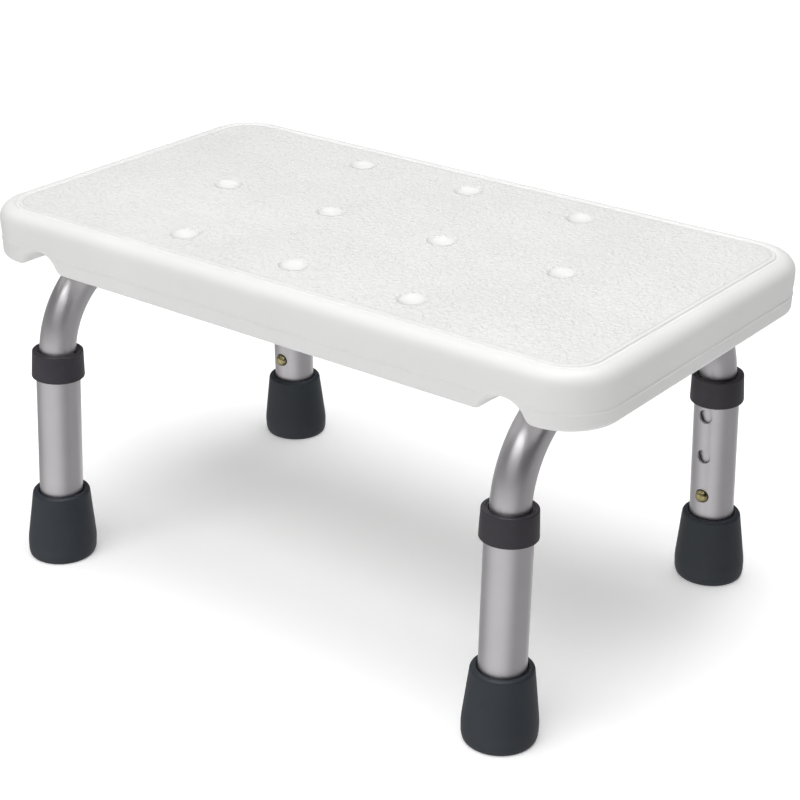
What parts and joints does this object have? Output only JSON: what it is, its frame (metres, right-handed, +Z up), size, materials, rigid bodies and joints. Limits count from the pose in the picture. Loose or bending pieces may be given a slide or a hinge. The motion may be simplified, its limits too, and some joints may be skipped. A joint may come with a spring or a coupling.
{
  "type": "adjustable bath step",
  "caption": "Low bath step: white moulded platform on two bent tube frames, with telescoping legs, snap buttons, collars and rubber tips.",
  "frame": {"origin": "on the floor under the middle of the platform, at the lowest leg setting", "axes": "+Z up, +X along the platform's long side, +Y across it towards the back"},
  "size_m": [0.41, 0.2572, 0.211],
  "materials": {
    "white_hdpe": "white blow-moulded polyethylene, pebble grain on the top panel, satin elsewhere",
    "anodised_aluminium": "satin clear anodised tube",
    "charcoal_plastic": "fine matt moulded plastic",
    "grey_rubber": "dark blue-grey moulded rubber, matt",
    "plated_steel": "zinc-plated steel",
    "brass": "dull yellow-passivated metal"
  },
  "bodies": {
    "frame": {"platform": "white_hdpe", "frame_tube_left": "anodised_aluminium", "frame_tube_right": "anodised_aluminium", "frame_screw_near_left": "plated_steel", "frame_screw_near_right": "plated_steel", "frame_screw_far_left": "plated_steel", "frame_screw_far_right": "plated_steel", "threaded_insert_near_left": "brass", "threaded_insert_near_right": "brass", "threaded_insert_far_left": "brass", "threaded_insert_far_right": "brass", "button_spring_near_left": "plated_steel", "button_spring_near_right": "plated_steel", "button_spring_far_left": "plated_steel", "button_spring_far_right": "plated_steel"},
    "leg_near_left": {"leg_tube_near_left": "anodised_aluminium", "collar_near_left": "charcoal_plastic", "rubber_tip_near_left": "grey_rubber", "tip_washer_near_left": "plated_steel"},
    "button_near_left": {"snap_button_near_left": "brass"},
    "leg_near_right": {"leg_tube_near_right": "anodised_aluminium", "collar_near_right": "charcoal_plastic", "rubber_tip_near_right": "grey_rubber", "tip_washer_near_right": "plated_steel"},
    "button_near_right": {"snap_button_near_right": "brass"},
    "leg_far_left": {"leg_tube_far_left": "anodised_aluminium", "collar_far_left": "charcoal_plastic", "rubber_tip_far_left": "grey_rubber", "tip_washer_far_left": "plated_steel"},
    "button_far_left": {"snap_button_far_left": "brass"},
    "leg_far_right": {"leg_tube_far_right": "anodised_aluminium", "collar_far_right": "charcoal_plastic", "rubber_tip_far_right": "grey_rubber", "tip_washer_far_right": "plated_steel"},
    "button_far_right": {"snap_button_far_right": "brass"}
  },
  "joints": [
    {"name": "leg_slide_near_left", "type": "slide", "parent": "frame", "child": "leg_near_left", "axis": [-0.012, -0.04, -0.9991], "range_m": [0, 0.0508], "deforming": ["snap_button_near_left"]},
    {"name": "button_press_near_left", "type": "slide", "parent": "frame", "child": "button_near_left", "axis": [0.0005, -0.9992, 0.04], "range_m": [0, 0.0048], "stiffness_N_per_m": 1200, "springref_m": -0.003, "deforming": ["button_spring_near_left"]},
    {"name": "leg_slide_near_right", "type": "slide", "parent": "frame", "child": "leg_near_right", "axis": [0.012, -0.04, -0.9991], "range_m": [0, 0.0508], "deforming": ["snap_button_near_right"]},
    {"name": "button_press_near_right", "type": "slide", "parent": "frame", "child": "button_near_right", "axis": [-0.0005, -0.9992, 0.04], "range_m": [0, 0.0048], "stiffness_N_per_m": 1200, "springref_m": -0.003, "deforming": ["button_spring_near_right"]},
    {"name": "leg_slide_far_left", "type": "slide", "parent": "frame", "child": "leg_far_left", "axis": [-0.012, 0.04, -0.9991], "range_m": [0, 0.0508], "deforming": ["snap_button_far_left"]},
    {"name": "button_press_far_left", "type": "slide", "parent": "frame", "child": "button_far_left", "axis": [0.0005, 0.9992, 0.04], "range_m": [0, 0.0048], "stiffness_N_per_m": 1200, "springref_m": -0.003, "deforming": ["button_spring_far_left"]},
    {"name": "leg_slide_far_right", "type": "slide", "parent": "frame", "child": "leg_far_right", "axis": [0.012, 0.04, -0.9991], "range_m": [0, 0.0508], "deforming": ["snap_button_far_right"]},
    {"name": "button_press_far_right", "type": "slide", "parent": "frame", "child": "button_far_right", "axis": [-0.0005, 0.9992, 0.04], "range_m": [0, 0.0048], "stiffness_N_per_m": 1200, "springref_m": -0.003, "deforming": ["button_spring_far_right"]}
  ]
}
